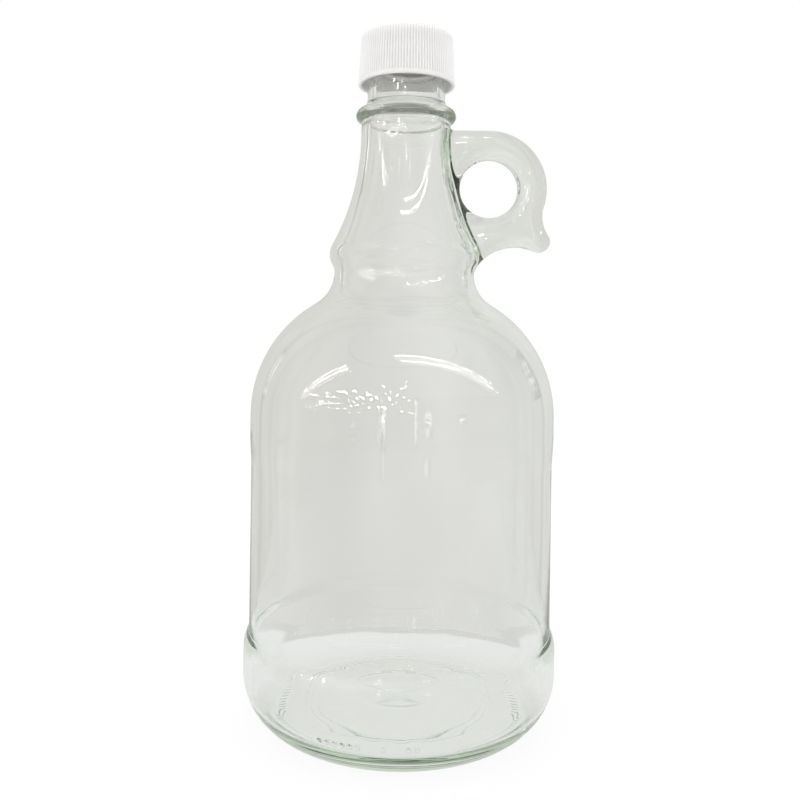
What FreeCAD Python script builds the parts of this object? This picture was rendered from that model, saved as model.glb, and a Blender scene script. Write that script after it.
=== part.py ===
import FreeCAD, Part
import math
import os

# Handled glass jug with a ribbed screw cap. Millimetres, +Z up. The origin is the centre of
# the ring that the jug stands on, and the finger handle is on the +X side.

# Body
BODY_RADIUS = 52.1          # upper contact band, where the shoulder starts
PANEL_RECESS = 0.5          # label panel, in from the upper band
LOWER_BAND_PROUD = 1.25     # lower contact band, out from the upper band
HEEL_HEIGHT = 17.0          # top of the heel curve
LOWER_BAND = 8.0            # straight height of the lower band
LOWER_BLEND = 8.0           # height of the blend from the lower band to the panel
UPPER_BLEND = 12.0          # height of the blend from the panel to the upper band
UPPER_BAND = 6.0            # straight height of the upper band
SHOULDER_HEIGHT = 103.0     # level where the shoulder curve starts

# Foot and floor
FOOT_INSET = 12.1           # standing ring's outer edge, in from the lower band
FOOT_EDGE_ARC = 6.0         # rounding outside the standing ring
FOOT_FLAT = 3.0             # width of the flat standing ring
PUSH_UP = 4.5               # hollow under the floor, at the axis
BASE_THICKNESS = 4.8        # glass at the axis
FLOOR_EDGE = 4.2            # level of the inner floor where it meets the inner heel
INNER_HEEL_ARC = 10.0       # rounding inside the heel
LOWER_WALL = 2.95           # glass at the lower band

# Shoulder, waist, ring bulge and neck: one chain of tangent arcs
SHOULDER_ARC = 44.0
WAIST_RADIUS = 24.2
WAIST_LOWER_ARC = 13.0
WAIST_UPPER_ARC = 4.5
BULGE_PROUD = 1.7           # ring bulge, out from the waist
BULGE_ARC = 7.0
NECK_RADIUS = 15.5
NECK_ARC = 83.0
WALL = 2.6                  # glass from the upper band to the neck

# Carrying bead and finish
NECK_STRAIGHT = 3.5         # from the end of the neck curve to the bead's underside
BEAD_PROUD = 1.9            # bead, out from the neck
BEAD_ARC = 2.0
BEAD_UNDER_ARC = 1.0
FLARE_ARC = 4.5             # hollow curve from the bead up to the finish
FINISH_RADIUS = 13.5
FINISH_WALL = 2.8
FINISH_LENGTH = 20.0        # from the end of the flare to the lip
LIP_ARC = 1.0
BORE_STEP_START = 2.0       # inner step to the narrower bore, above the neck curve
BORE_STEP = 8.0             # height of that step

# Screw thread
THREAD_PITCH = 3.6
THREAD_HEIGHT = 1.1
THREAD_ROOT = 2.0           # width of the ridge at its foot
THREAD_CREST = 0.8          # width of the ridge at its top
THREAD_TURNS = 1.5
THREAD_BELOW_LIP = 10.5     # first point of the thread, down from the lip
THREAD_BITE = 0.4           # depth that a ridge is rooted in its wall

# Finger handle
HANDLE_BEAD_GAP = 1.8       # below the underside of the bead
HOLE_RADIUS = 10.1
HANDLE_WIDTH = 10.05        # ring of glass around the hole
HANDLE_WEB = 1.4            # glass between the neck and the hole
HANDLE_THICKNESS = 10.5
HANDLE_ROUNDING = 3.0
SPUR_RADIUS = 3.8           # rounded end of the spur
SPUR_GAP = 1.3              # between the ring's circle and the spur's circle
SPUR_ANGLE = -45.5          # degrees from +X, about the hole
SPUR_HOLLOW = 11.0          # hollow curve between the ring and the spur
ARCH_RADIUS = 16.5          # hollow curve under the handle
HANDLE_ROOT = 1.0           # depth that the handle's lower end reaches inside the waist
ARCH_SPAN = 0.95            # most of the arch's radius that is used on the jug's side

# Cap
CAP_HEIGHT = 16.8
CAP_TOP = 1.4
CAP_WALL = 1.3
CAP_CLEARANCE = 0.3         # to the crest and to the root of the jug's thread
CAP_THREAD_TURNS = 1.25
CAP_RIM_ROOM = 0.6          # extra room inside the open rim
CAP_DRAFT = 0.85            # the skirt's radius is this much less at the top
CAP_EDGE_ARC = 0.8
RIB_COUNT = 104
RIB_DEPTH = 0.3
RIB_GROOVE = 0.62           # width of a groove at the skirt's surface
RIM_BAND = 1.5              # plain band below the ribs

# Room for cutters to pass the faces that they open
PAST = 1.0

# Largest share of a wall or curve that a rounding may take
ROUNDING_SHARE = 0.8

AXIS = FreeCAD.Vector(0, 0, 1)
ORIGIN = FreeCAD.Vector(0, 0, 0)


def point(r, z):
    return FreeCAD.Vector(r, 0, z)


def line(start, end):
    return Part.LineSegment(start, end).toShape()


def arc(start, end, centre):
    """The shorter arc about centre, from start to end."""
    radius = (start - centre).Length
    towards_middle = (start + end) / 2 - centre
    towards_middle.normalize()
    return Part.Arc(start, centre + towards_middle * radius, end).toShape()


def touch(centre_a, radius_a, centre_b, radius_b):
    """Where two circles that touch from outside meet."""
    return centre_a + (centre_b - centre_a) * (radius_a / (radius_a + radius_b))


def raised_centre(centre, distance, r):
    """The point at radius r that lies above centre, at a distance from it."""
    return point(r, centre.z + math.sqrt(distance ** 2 - (r - centre.x) ** 2))


def blend(lower, upper):
    """Two arcs from one radius to another, upright at both ends."""
    offset = upper.x - lower.x
    length = upper.z - lower.z
    radius = math.copysign((length ** 2 + offset ** 2) / (4 * abs(offset)), offset)
    middle = (lower + upper) / 2
    lower_arc = arc(lower, middle, point(lower.x + radius, lower.z))
    upper_arc = arc(middle, upper, point(upper.x - radius, upper.z))
    return [lower_arc, upper_arc]


def dome(height, edge):
    """Arc from the axis at the given height, level there, out to edge."""
    rise = height - edge.z
    radius = (edge.x ** 2 + rise ** 2) / (2 * rise)
    return arc(point(0, height), edge, point(0, height - radius))


def revolved(edges):
    """Solid turned about the axis from edges that run from axis to axis."""
    face = Part.Face(Part.Wire(edges))
    solid = face.revolve(ORIGIN, AXIS, 360)
    solid.rotate(ORIGIN, AXIS, 90)
    return solid


# Centres of the neck's chain of arcs
shoulder_centre = point(BODY_RADIUS - SHOULDER_ARC, SHOULDER_HEIGHT)
waist_lower_centre = raised_centre(
    shoulder_centre, SHOULDER_ARC + WAIST_LOWER_ARC, WAIST_RADIUS + WAIST_LOWER_ARC)
waist_upper_centre = point(WAIST_RADIUS + WAIST_UPPER_ARC, waist_lower_centre.z)
bulge_centre = raised_centre(
    waist_upper_centre, WAIST_UPPER_ARC + BULGE_ARC, WAIST_RADIUS + BULGE_PROUD - BULGE_ARC)
neck_centre = raised_centre(bulge_centre, BULGE_ARC + NECK_ARC, NECK_RADIUS + NECK_ARC)

# Levels of the bead and the finish
bead_radius = NECK_RADIUS + BEAD_PROUD
bead_under_centre = point(NECK_RADIUS + BEAD_UNDER_ARC, neck_centre.z + NECK_STRAIGHT)
bead_centre = raised_centre(
    bead_under_centre, BEAD_UNDER_ARC + BEAD_ARC, bead_radius - BEAD_ARC)
flare_centre = raised_centre(bead_centre, BEAD_ARC + FLARE_ARC, FINISH_RADIUS + FLARE_ARC)
lip_height = flare_centre.z + FINISH_LENGTH
bore_radius = FINISH_RADIUS - FINISH_WALL


def neck_path(wall):
    """Shoulder, waist, bulge and neck, set in from the outside by wall."""
    centres = [shoulder_centre, waist_lower_centre, waist_upper_centre, bulge_centre, neck_centre]
    start = point(BODY_RADIUS - wall, SHOULDER_HEIGHT)
    below_waist = touch(
        shoulder_centre, SHOULDER_ARC - wall, waist_lower_centre, WAIST_LOWER_ARC + wall)
    waist = point(WAIST_RADIUS - wall, waist_lower_centre.z)
    above_waist = touch(
        waist_upper_centre, WAIST_UPPER_ARC + wall, bulge_centre, BULGE_ARC - wall)
    above_bulge = touch(bulge_centre, BULGE_ARC - wall, neck_centre, NECK_ARC + wall)
    end = point(NECK_RADIUS - wall, neck_centre.z)
    stops = [start, below_waist, waist, above_waist, above_bulge, end]
    return [arc(a, b, centre) for a, b, centre in zip(stops, stops[1:], centres)]


def foot_path(band_radius):
    """From the axis under the push-up, over the standing ring and up the heel."""
    foot_radius = band_radius - FOOT_INSET
    edge_arc = min(FOOT_EDGE_ARC, ROUNDING_SHARE * FOOT_INSET, ROUNDING_SHARE * HEEL_HEIGHT)
    rise = HEEL_HEIGHT - edge_arc
    heel_arc = (FOOT_INSET ** 2 + rise ** 2 - edge_arc ** 2) / (2 * (FOOT_INSET - edge_arc))
    heel_centre = point(band_radius - heel_arc, HEEL_HEIGHT)
    edge_centre = point(foot_radius, edge_arc)
    meeting = heel_centre + (edge_centre - heel_centre) * (heel_arc / (heel_arc - edge_arc))
    ring_inside = point(foot_radius - FOOT_FLAT, 0)
    ring_outside = point(foot_radius, 0)
    return [
        dome(PUSH_UP, ring_inside),
        line(ring_inside, ring_outside),
        arc(ring_outside, meeting, edge_centre),
        arc(meeting, point(band_radius, HEEL_HEIGHT), heel_centre),
    ]


def body_path(band_radius):
    """Lower band, label panel and upper band, up to the shoulder."""
    panel_radius = BODY_RADIUS - PANEL_RECESS
    band_top = point(band_radius, HEEL_HEIGHT + LOWER_BAND)
    panel_bottom = point(panel_radius, band_top.z + LOWER_BLEND)
    panel_top = point(panel_radius, SHOULDER_HEIGHT - UPPER_BAND - UPPER_BLEND)
    upper_start = point(BODY_RADIUS, SHOULDER_HEIGHT - UPPER_BAND)
    edges = [line(point(band_radius, HEEL_HEIGHT), band_top)]
    edges += blend(band_top, panel_bottom)
    edges.append(line(panel_bottom, panel_top))
    edges += blend(panel_top, upper_start)
    edges.append(line(upper_start, point(BODY_RADIUS, SHOULDER_HEIGHT)))
    return edges


def finish_path():
    """Bead, flare and tube, up to the axis at the lip."""
    under = touch(bead_under_centre, BEAD_UNDER_ARC, bead_centre, BEAD_ARC)
    nose = point(bead_radius, bead_centre.z)
    over = touch(bead_centre, BEAD_ARC, flare_centre, FLARE_ARC)
    neck_end = point(NECK_RADIUS, neck_centre.z)
    under_start = point(NECK_RADIUS, bead_under_centre.z)
    flare_end = point(FINISH_RADIUS, flare_centre.z)
    lip_side = point(FINISH_RADIUS, lip_height - LIP_ARC)
    lip_top = point(FINISH_RADIUS - LIP_ARC, lip_height)
    return [
        line(neck_end, under_start),
        arc(under_start, under, bead_under_centre),
        arc(under, nose, bead_centre),
        arc(nose, over, bead_centre),
        arc(over, flare_end, flare_centre),
        line(flare_end, lip_side),
        arc(lip_side, lip_top, point(FINISH_RADIUS - LIP_ARC, lip_height - LIP_ARC)),
        line(lip_top, point(0, lip_height)),
    ]


def jug_outside():
    band_radius = BODY_RADIUS + LOWER_BAND_PROUD
    edges = foot_path(band_radius) + body_path(band_radius) + neck_path(0) + finish_path()
    edges.append(line(point(0, lip_height), point(0, PUSH_UP)))
    return revolved(edges)


def jug_inside():
    """The space that holds the drink, open past the lip."""
    inner_radius = BODY_RADIUS - WALL
    band_radius = BODY_RADIUS + LOWER_BAND_PROUD - LOWER_WALL
    floor_top = PUSH_UP + BASE_THICKNESS
    floor_edge = point(band_radius - INNER_HEEL_ARC, FLOOR_EDGE)
    heel_centre = point(floor_edge.x, FLOOR_EDGE + INNER_HEEL_ARC)
    heel_top = point(band_radius, heel_centre.z)
    band_top = point(band_radius, max(HEEL_HEIGHT + LOWER_BAND, heel_top.z + LOWER_WALL))
    panel_low = point(inner_radius, band_top.z + LOWER_BLEND)
    neck_end = point(NECK_RADIUS - WALL, neck_centre.z)
    step_start = point(neck_end.x, neck_end.z + BORE_STEP_START)
    step_end = point(bore_radius, step_start.z + BORE_STEP)
    mouth = point(bore_radius, lip_height + PAST)
    edges = [dome(floor_top, floor_edge), arc(floor_edge, heel_top, heel_centre)]
    edges.append(line(heel_top, band_top))
    edges += blend(band_top, panel_low)
    edges.append(line(panel_low, point(inner_radius, SHOULDER_HEIGHT)))
    edges += neck_path(WALL)
    edges.append(line(neck_end, step_start))
    edges += blend(step_start, step_end)
    edges += [line(step_end, mouth), line(mouth, point(0, mouth.z))]
    edges.append(line(point(0, mouth.z), point(0, floor_top)))
    return revolved(edges)


def handle():
    """Ear with a finger hole and a spur, its edges rounded."""
    ring_radius = HOLE_RADIUS + HANDLE_WIDTH
    top = bead_under_centre.z - HANDLE_BEAD_GAP
    level = top - ring_radius
    neck_side = neck_centre.x - math.sqrt(NECK_ARC ** 2 - (neck_centre.z - level) ** 2)
    hole = point(neck_side + HANDLE_WEB + HOLE_RADIUS, level)
    angle = math.radians(SPUR_ANGLE)
    towards_spur = point(math.cos(angle), math.sin(angle))
    outwards = point(-math.sin(angle), math.cos(angle))
    spur_distance = ring_radius + SPUR_GAP + SPUR_RADIUS
    spur = hole + towards_spur * spur_distance

    # Centre of the hollow curve that touches the ring and the spur from outside
    from_ring = ring_radius + SPUR_HOLLOW
    from_spur = SPUR_RADIUS + SPUR_HOLLOW
    along = (from_ring ** 2 - from_spur ** 2 + spur_distance ** 2) / (2 * spur_distance)
    across = math.sqrt(from_ring ** 2 - along ** 2)
    hollow = hole + towards_spur * along + outwards * across

    arch_level = level - ring_radius - ARCH_RADIUS
    arch_reach = math.sqrt((ARCH_RADIUS + SPUR_RADIUS) ** 2 - (spur.z - arch_level) ** 2)
    arch = point(spur.x - arch_reach, arch_level)
    root_reach = min(arch.x - WAIST_RADIUS + HANDLE_ROOT, ARCH_SPAN * ARCH_RADIUS)
    root = point(arch.x - root_reach, arch.z + math.sqrt(ARCH_RADIUS ** 2 - root_reach ** 2))

    ring_top = point(hole.x, top)
    ring_end = touch(hole, ring_radius, hollow, SPUR_HOLLOW)
    spur_start = touch(spur, SPUR_RADIUS, hollow, SPUR_HOLLOW)
    spur_end = touch(spur, SPUR_RADIUS, arch, ARCH_RADIUS)
    outline = Part.Wire([
        line(point(0, top), ring_top),
        arc(ring_top, ring_end, hole),
        arc(ring_end, spur_start, hollow),
        arc(spur_start, spur_end, spur),
        arc(spur_end, root, arch),
        line(root, point(0, root.z)),
        line(point(0, root.z), point(0, top)),
    ])
    rim = Part.Wire(Part.makeCircle(HOLE_RADIUS, hole, FreeCAD.Vector(0, 1, 0)))
    face = Part.Face(outline).cut(Part.Face(rim))
    depth = FreeCAD.Vector(0, HANDLE_THICKNESS, 0)
    plate = face.extrude(depth)
    plate.translate(depth * -0.5)
    plate = plate.Solids[0]
    room = ROUNDING_SHARE * min(SPUR_RADIUS, HANDLE_THICKNESS / 2)
    rounding = min(HANDLE_ROUNDING, room)
    return plate.makeFillet(rounding, [edge for edge in plate.Edges if is_outer(edge, root)])


def is_outer(edge, root):
    """True for an edge of the ear's two flat faces, outside the jug's wall."""
    box = edge.BoundBox
    in_flat_face = box.YLength < 0.01
    closes_inside = box.XMax < root.x + 0.01
    return in_flat_face and not closes_inside


def ridge(wall_radius, crest_radius, turns, start_height, start_angle):
    """Helical ridge rooted in a wall, tapering from its root to its crest."""
    inward = crest_radius < wall_radius
    root_radius = wall_radius + THREAD_BITE if inward else wall_radius - THREAD_BITE
    corners = [
        point(root_radius, -THREAD_ROOT / 2),
        point(root_radius, THREAD_ROOT / 2),
        point(crest_radius, THREAD_CREST / 2),
        point(crest_radius, -THREAD_CREST / 2),
    ]
    section = Part.makePolygon(corners + corners[:1])
    path = Part.makeHelix(THREAD_PITCH, THREAD_PITCH * turns, wall_radius)
    solid = Part.Wire(path.Edges).makePipeShell([section], True, True)
    solid = Part.Solid(solid) if solid.ShapeType != "Solid" else solid
    solid.translate(FreeCAD.Vector(0, 0, start_height))
    solid.rotate(ORIGIN, AXIS, start_angle)
    return solid


def jug():
    start_height = lip_height - THREAD_BELOW_LIP
    thread = ridge(FINISH_RADIUS, FINISH_RADIUS + THREAD_HEIGHT, THREAD_TURNS, start_height, 0)
    glass = jug_outside().fuse(handle()).fuse(thread).cut(jug_inside())
    return glass.removeSplitter().Solids[0]


def cap():
    """Cap seated on the lip, with grip ribs outside and a thread inside."""
    top = lip_height + CAP_TOP
    rim = top - CAP_HEIGHT
    inner_rim = FINISH_RADIUS + THREAD_HEIGHT + CAP_CLEARANCE + CAP_RIM_ROOM
    outer_rim = inner_rim + CAP_WALL
    slope = CAP_DRAFT / CAP_HEIGHT
    outer_top = outer_rim - CAP_DRAFT
    inner_top = inner_rim - slope * (CAP_HEIGHT - CAP_TOP)
    edge_side = point(outer_top + slope * CAP_EDGE_ARC, top - CAP_EDGE_ARC)
    edge_over = point(outer_top - CAP_EDGE_ARC, top)
    edge_middle = point(outer_top - CAP_EDGE_ARC * (1 - math.sqrt(0.5)),
                        top - CAP_EDGE_ARC * (1 - math.sqrt(0.5)))
    shell = revolved([
        line(point(inner_rim, rim), point(outer_rim, rim)),
        line(point(outer_rim, rim), edge_side),
        Part.Arc(edge_side, edge_middle, edge_over).toShape(),
        line(edge_over, point(0, top)),
        line(point(0, top), point(0, lip_height)),
        line(point(0, lip_height), point(inner_top, lip_height)),
        line(point(inner_top, lip_height), point(inner_rim, rim)),
    ])

    groove_side = RIB_GROOVE / 2 + RIB_GROOVE * PAST / (2 * RIB_DEPTH)
    groove_corners = [
        FreeCAD.Vector(outer_rim - RIB_DEPTH, 0, 0),
        FreeCAD.Vector(outer_rim + PAST, groove_side, 0),
        FreeCAD.Vector(outer_rim + PAST, -groove_side, 0),
    ]
    groove = Part.Face(Part.makePolygon(groove_corners + groove_corners[:1]))
    groove = groove.extrude(FreeCAD.Vector(-CAP_DRAFT, 0, CAP_HEIGHT))
    groove.translate(FreeCAD.Vector(-slope * RIM_BAND, 0, rim + RIM_BAND))
    grooves = []
    for i in range(RIB_COUNT):
        copy = groove.copy()
        copy.rotate(ORIGIN, AXIS, 360 * (i + 0.5) / RIB_COUNT)
        grooves.append(copy)
    ribbed = shell.cut(Part.makeCompound(grooves))

    start_height = lip_height - THREAD_BELOW_LIP + THREAD_PITCH / 2
    wall_radius = inner_rim - slope * (start_height - rim)
    thread = ridge(wall_radius, FINISH_RADIUS + CAP_CLEARANCE, CAP_THREAD_TURNS, start_height, 0)
    return ribbed.fuse(thread).Solids[0]


def main():
    os.makedirs("parts", exist_ok=True)
    glass = jug()
    plastic = cap()
    glass.exportStep("parts/bottle.step")
    plastic.exportStep("parts/cap.step")
    for name, solid in (("bottle", glass), ("cap", plastic)):
        print(name, "valid", solid.isValid(), "volume mm3", round(solid.Volume))
    above_lip = math.pi * bore_radius ** 2 * PAST
    print("brimful capacity mm3", round(jug_inside().Volume - above_lip))
    print("levels mm: waist", round(waist_lower_centre.z, 2), "bulge", round(bulge_centre.z, 2))
    print("neck", round(neck_centre.z, 2), "bead", round(bead_centre.z, 2))
    print("finish", round(flare_centre.z, 2), "lip", round(lip_height, 2))


main()
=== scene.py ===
"""Handled glass jug with a white ribbed screw cap.

The glass is one closed mesh: a turned body and finish, joined to a neck and finger handle
that are modelled as one smooth skin. Profiles are complex numbers: radius + height * 1j.
"""
import cmath
import math

import bmesh
import bpy
import numpy as np
from bpy.props import FloatProperty, FloatVectorProperty, IntProperty, PointerProperty
from bpy.types import NodeSocket, Operator, Panel, PropertyGroup
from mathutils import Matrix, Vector, noise


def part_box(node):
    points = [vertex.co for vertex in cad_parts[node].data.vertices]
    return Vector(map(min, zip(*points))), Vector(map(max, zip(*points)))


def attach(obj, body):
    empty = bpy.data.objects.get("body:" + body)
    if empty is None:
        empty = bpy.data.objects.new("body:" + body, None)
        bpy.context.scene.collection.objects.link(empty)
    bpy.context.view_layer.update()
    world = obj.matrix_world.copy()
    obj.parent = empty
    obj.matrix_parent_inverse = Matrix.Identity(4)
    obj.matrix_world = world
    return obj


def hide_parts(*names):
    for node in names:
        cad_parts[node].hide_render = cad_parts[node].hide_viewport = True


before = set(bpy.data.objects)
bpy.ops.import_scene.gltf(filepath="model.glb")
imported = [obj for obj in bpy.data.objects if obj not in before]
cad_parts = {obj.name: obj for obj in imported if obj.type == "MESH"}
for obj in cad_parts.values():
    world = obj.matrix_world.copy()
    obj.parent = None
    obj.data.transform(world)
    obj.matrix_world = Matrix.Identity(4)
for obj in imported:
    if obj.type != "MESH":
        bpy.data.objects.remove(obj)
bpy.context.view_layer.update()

bl_info = {
    "name": "Handled Glass Jug",
    "version": (1, 0, 0),
    "blender": (4, 5, 0),
    "location": "3D View > Sidebar > Jug",
    "description": "Builds a clear glass jug with a finger handle and a ribbed screw cap",
    "category": "Add Mesh",
}

JUG_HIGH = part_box("bottle")[1]
CAP_LOW, CAP_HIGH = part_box("cap")
MM = 0.001

# Heel, bands and floor
BAND_PROUD = 1.25 * MM
HEEL_HEIGHT = 17.0 * MM
LOWER_BAND = 8.0 * MM
LOWER_BLEND = 8.0 * MM
UPPER_BLEND = 12.0 * MM
UPPER_BAND = 6.0 * MM
FOOT_INSET = 12.1 * MM
FOOT_EDGE_ARC = 6.0 * MM
FOOT_FLAT = 3.0 * MM
FLOOR_EDGE = 4.2 * MM
INNER_HEEL_ARC = 10.0 * MM
LOWER_WALL = 2.95 * MM

# Shoulder, waist, ring bulge, neck and bead
SHOULDER_ARC = 44.0 * MM
WAIST_LOWER_ARC = 13.0 * MM
WAIST_UPPER_ARC = 4.5 * MM
BULGE_ARC = 7.0 * MM
NECK_ARC = 83.0 * MM
NECK_STRAIGHT = 3.5 * MM
BEAD_ARC = 2.0 * MM
BEAD_UNDER_ARC = 1.0 * MM
FLARE_ARC = 4.5 * MM
FINISH_LENGTH = 20.0 * MM
LIP_ARC = 1.0 * MM
BORE_STEP_START = 2.0 * MM
BORE_STEP = 8.0 * MM

# Screw thread
THREAD_PITCH = 3.6 * MM
THREAD_HEIGHT = 1.1 * MM
THREAD_ROOT = 2.0 * MM
THREAD_CREST = 0.8 * MM
THREAD_TURNS = 1.5
THREAD_BELOW_LIP = 10.5 * MM
THREAD_FADE = 0.04          # turns over which a thread's ends run out

# Handle
HANDLE_BEAD_GAP = 1.8 * MM
HANDLE_WEB = 1.4 * MM
SPUR_RADIUS = 3.8 * MM
SPUR_GAP = 1.3 * MM
SPUR_ANGLE = math.radians(-45.5)
SPUR_HOLLOW = 11.0 * MM
ARCH_RADIUS = 16.5 * MM
HANDLE_ROOT = 1.0 * MM

# Cap
CAP_WALL = 1.3 * MM
CAP_DRAFT = 0.85 * MM
CAP_EDGE_ARC = 0.8 * MM
CAP_CLEARANCE = 0.3 * MM
CAP_THREAD_TURNS = 1.25
CAP_CHAMFER = 0.15 * MM
RIM_BAND = 1.5 * MM
RIB_SHARE = 8               # mesh steps for each rib
GROOVE_POWER = 1.5          # above 1, grooves are narrower than ribs

# Skin of the neck and handle
SKIN_LOW = 149.5 * MM
SKIN_HIGH = 203.2 * MM
SKIN_CELL = 0.8 * MM
SKIN_SNAP = 0.3             # share of a cell within which a point moves onto the cut
SKIN_ROUNDS = 3
SLOPE_STEP = 0.02 * MM
ON_CUT = 0.002 * MM         # how near to a cut a point counts as on it

# Mesh fineness
RING_STEPS = 168
FINE_STEP = 0.4 * MM
MEDIUM_STEP = 1.2 * MM
WALL_STEP = 4.0 * MM
MOST_TURN = math.radians(9)


def length(name, default, description):
    return FloatProperty(name=name, default=default, description=description,
                         min=0.0, precision=5, unit="LENGTH")


def colour(name, default, description):
    return FloatVectorProperty(name=name, default=default, description=description,
                               size=3, min=0.0, max=1.0, subtype="COLOR")


class JugGlassSettings(PropertyGroup):
    body_radius: length("Body radius", min(JUG_HIGH.x, JUG_HIGH.y) - BAND_PROUD,
                        "Upper contact band")
    panel_recess: length("Panel recess", 0.5 * MM, "Label panel, in from the upper band")
    shoulder_height: length("Shoulder height", 103.0 * MM, "Where the shoulder starts")
    waist_radius: length("Waist radius", 24.2 * MM, "Narrowest place above the shoulder")
    bulge_proud: length("Ring bulge", 1.7 * MM, "Ring bulge, out from the waist")
    neck_radius: length("Neck radius", 15.5 * MM, "Top of the neck")
    wall: length("Wall", 2.6 * MM, "Glass from the upper band to the neck")
    bead_proud: length("Bead", 1.9 * MM, "Carrying bead, out from the neck")
    finish_radius: length("Finish radius", 13.5 * MM, "Outside of the threaded tube")
    finish_wall: length("Finish wall", 2.8 * MM, "Glass around the bore")
    push_up: length("Push-up", 4.5 * MM, "Hollow under the floor, at the axis")
    base_thickness: length("Base thickness", 4.8 * MM, "Glass at the axis")
    hole_radius: length("Finger hole radius", 10.1 * MM, "Hole in the handle")
    handle_width: length("Handle width", 10.05 * MM, "Ring of glass around the hole")
    handle_thickness: length("Handle thickness", 10.5 * MM, "Handle, side to side")
    handle_bevel: length("Handle bevel", 2.6 * MM, "Sloping edges of the handle")
    handle_crease: length("Handle crease", 1.4 * MM, "Rounding where the slopes start")
    handle_melt: length("Handle melt", 1.2 * MM, "Smooth join of handle and neck")
    inner_ripple: length("Inner ripple", 0.22 * MM, "Unevenness of the inner wall")
    outer_ripple: length("Outer ripple", 0.03 * MM, "Unevenness of the outer wall")
    dot_height: length("Heel dots", 0.7 * MM, "Height of the dots on the heel")
    knurl_depth: length("Knurl depth", 0.08 * MM, "Grooves across the standing ring")
    knurl_count: IntProperty(name="Knurl count", default=128, min=8,
                             description="Grooves around the standing ring")
    glass_colour: colour("Glass colour", (0.51, 0.71, 0.47), "What thick glass lets through")
    glass_depth: FloatProperty(name="Glass depth", default=9.5, min=0.0,
                               description="How strongly thick glass is coloured, per metre")


class JugCapSettings(PropertyGroup):
    ribs: IntProperty(name="Ribs", default=104, min=12, description="Grip ribs around the cap")
    rib_depth: length("Rib depth", 0.3 * MM, "Depth of the grooves between ribs")
    white: colour("Cap white", (0.96, 0.945, 0.93), "Moulded plastic")
    shade: colour("Cap shade", (0.92, 0.90, 0.89), "Faint variation in the plastic")
    # Groove shade: painted shade, a darker colour laid into the bottom of each groove where less
    # light falls
    groove: colour("Groove shade", (0.76, 0.74, 0.725), "Plastic at the bottom of the grooves")


class JugStudioSettings(PropertyGroup):
    room_left: colour("Room, left", (0.69, 0.68, 0.655), "Surroundings seen in the glass")
    room_right: colour("Room, right", (0.745, 0.75, 0.725), "Surroundings seen in the glass")
    table: colour("Table", (0.79, 0.80, 0.785), "Table seen in the glass")
    table_edge: colour("Table edge", (0.60, 0.60, 0.585), "Far edge of the table")
    lamps: colour("Lamps", (1.0, 1.0, 0.99), "Lamps and windows seen in the glass")
    lamp_strength: FloatProperty(name="Lamp strength", default=90.0, min=0.0,
                                 description="Brightness of the ceiling lamps in the glass")
    dark_bands: FloatProperty(name="Dark bands", default=0.4, min=0.0, max=1.0,
                              description="Darkness of the gaps to the sides of the room")
    daylight: FloatProperty(name="Daylight", default=1.06, min=0.0,
                            description="Plain light from all around")


# ---------------- profiles

def touch(centre_a, radius_a, centre_b, radius_b):
    """Where two circles that touch from outside meet."""
    return centre_a + (centre_b - centre_a) * (radius_a / (radius_a + radius_b))


def raised_centre(centre, distance, radius):
    """The point at a radius that lies above centre, at a distance from it."""
    return complex(radius, centre.imag + math.sqrt(distance ** 2 - (radius - centre.real) ** 2))


class Path:
    """A chain of points that grows from its start by lines and arcs, in steps."""

    def __init__(self, start, step=MEDIUM_STEP):
        self.points = [start]
        self.at = start
        self.step = step

    def corners(self, *points):
        self.points += points
        self.at = points[-1]
        return self

    def line(self, end, step=None):
        start = self.at
        count = max(1, math.ceil(abs(end - start) / (step or self.step)))
        self.points += [start + (end - start) * i / count for i in range(1, count + 1)]
        self.at = end
        return self

    def arc(self, end, centre):
        """Follows the shorter arc about centre."""
        arm = self.at - centre
        turn = cmath.phase((end - centre) / arm)
        count = max(1, math.ceil(abs(turn * arm) / self.step), math.ceil(abs(turn) / MOST_TURN))
        self.points += [centre + arm * cmath.rect(1, turn * i / count)
                        for i in range(1, count + 1)]
        self.at = end
        return self

    def blend(self, end):
        """Two arcs from one radius to another, upright at both ends."""
        start = self.at
        offset = end.real - start.real
        rise = end.imag - start.imag
        radius = math.copysign((rise ** 2 + offset ** 2) / (4 * abs(offset)), offset)
        return self.arc((start + end) / 2, start + radius).arc(end, end - radius)

    def dome(self, edge):
        """From the axis, level there, out to the edge."""
        rise = self.at.imag - edge.imag
        radius = (edge.real ** 2 + rise ** 2) / (2 * rise)
        return self.arc(edge, self.at - 1j * radius)


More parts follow.
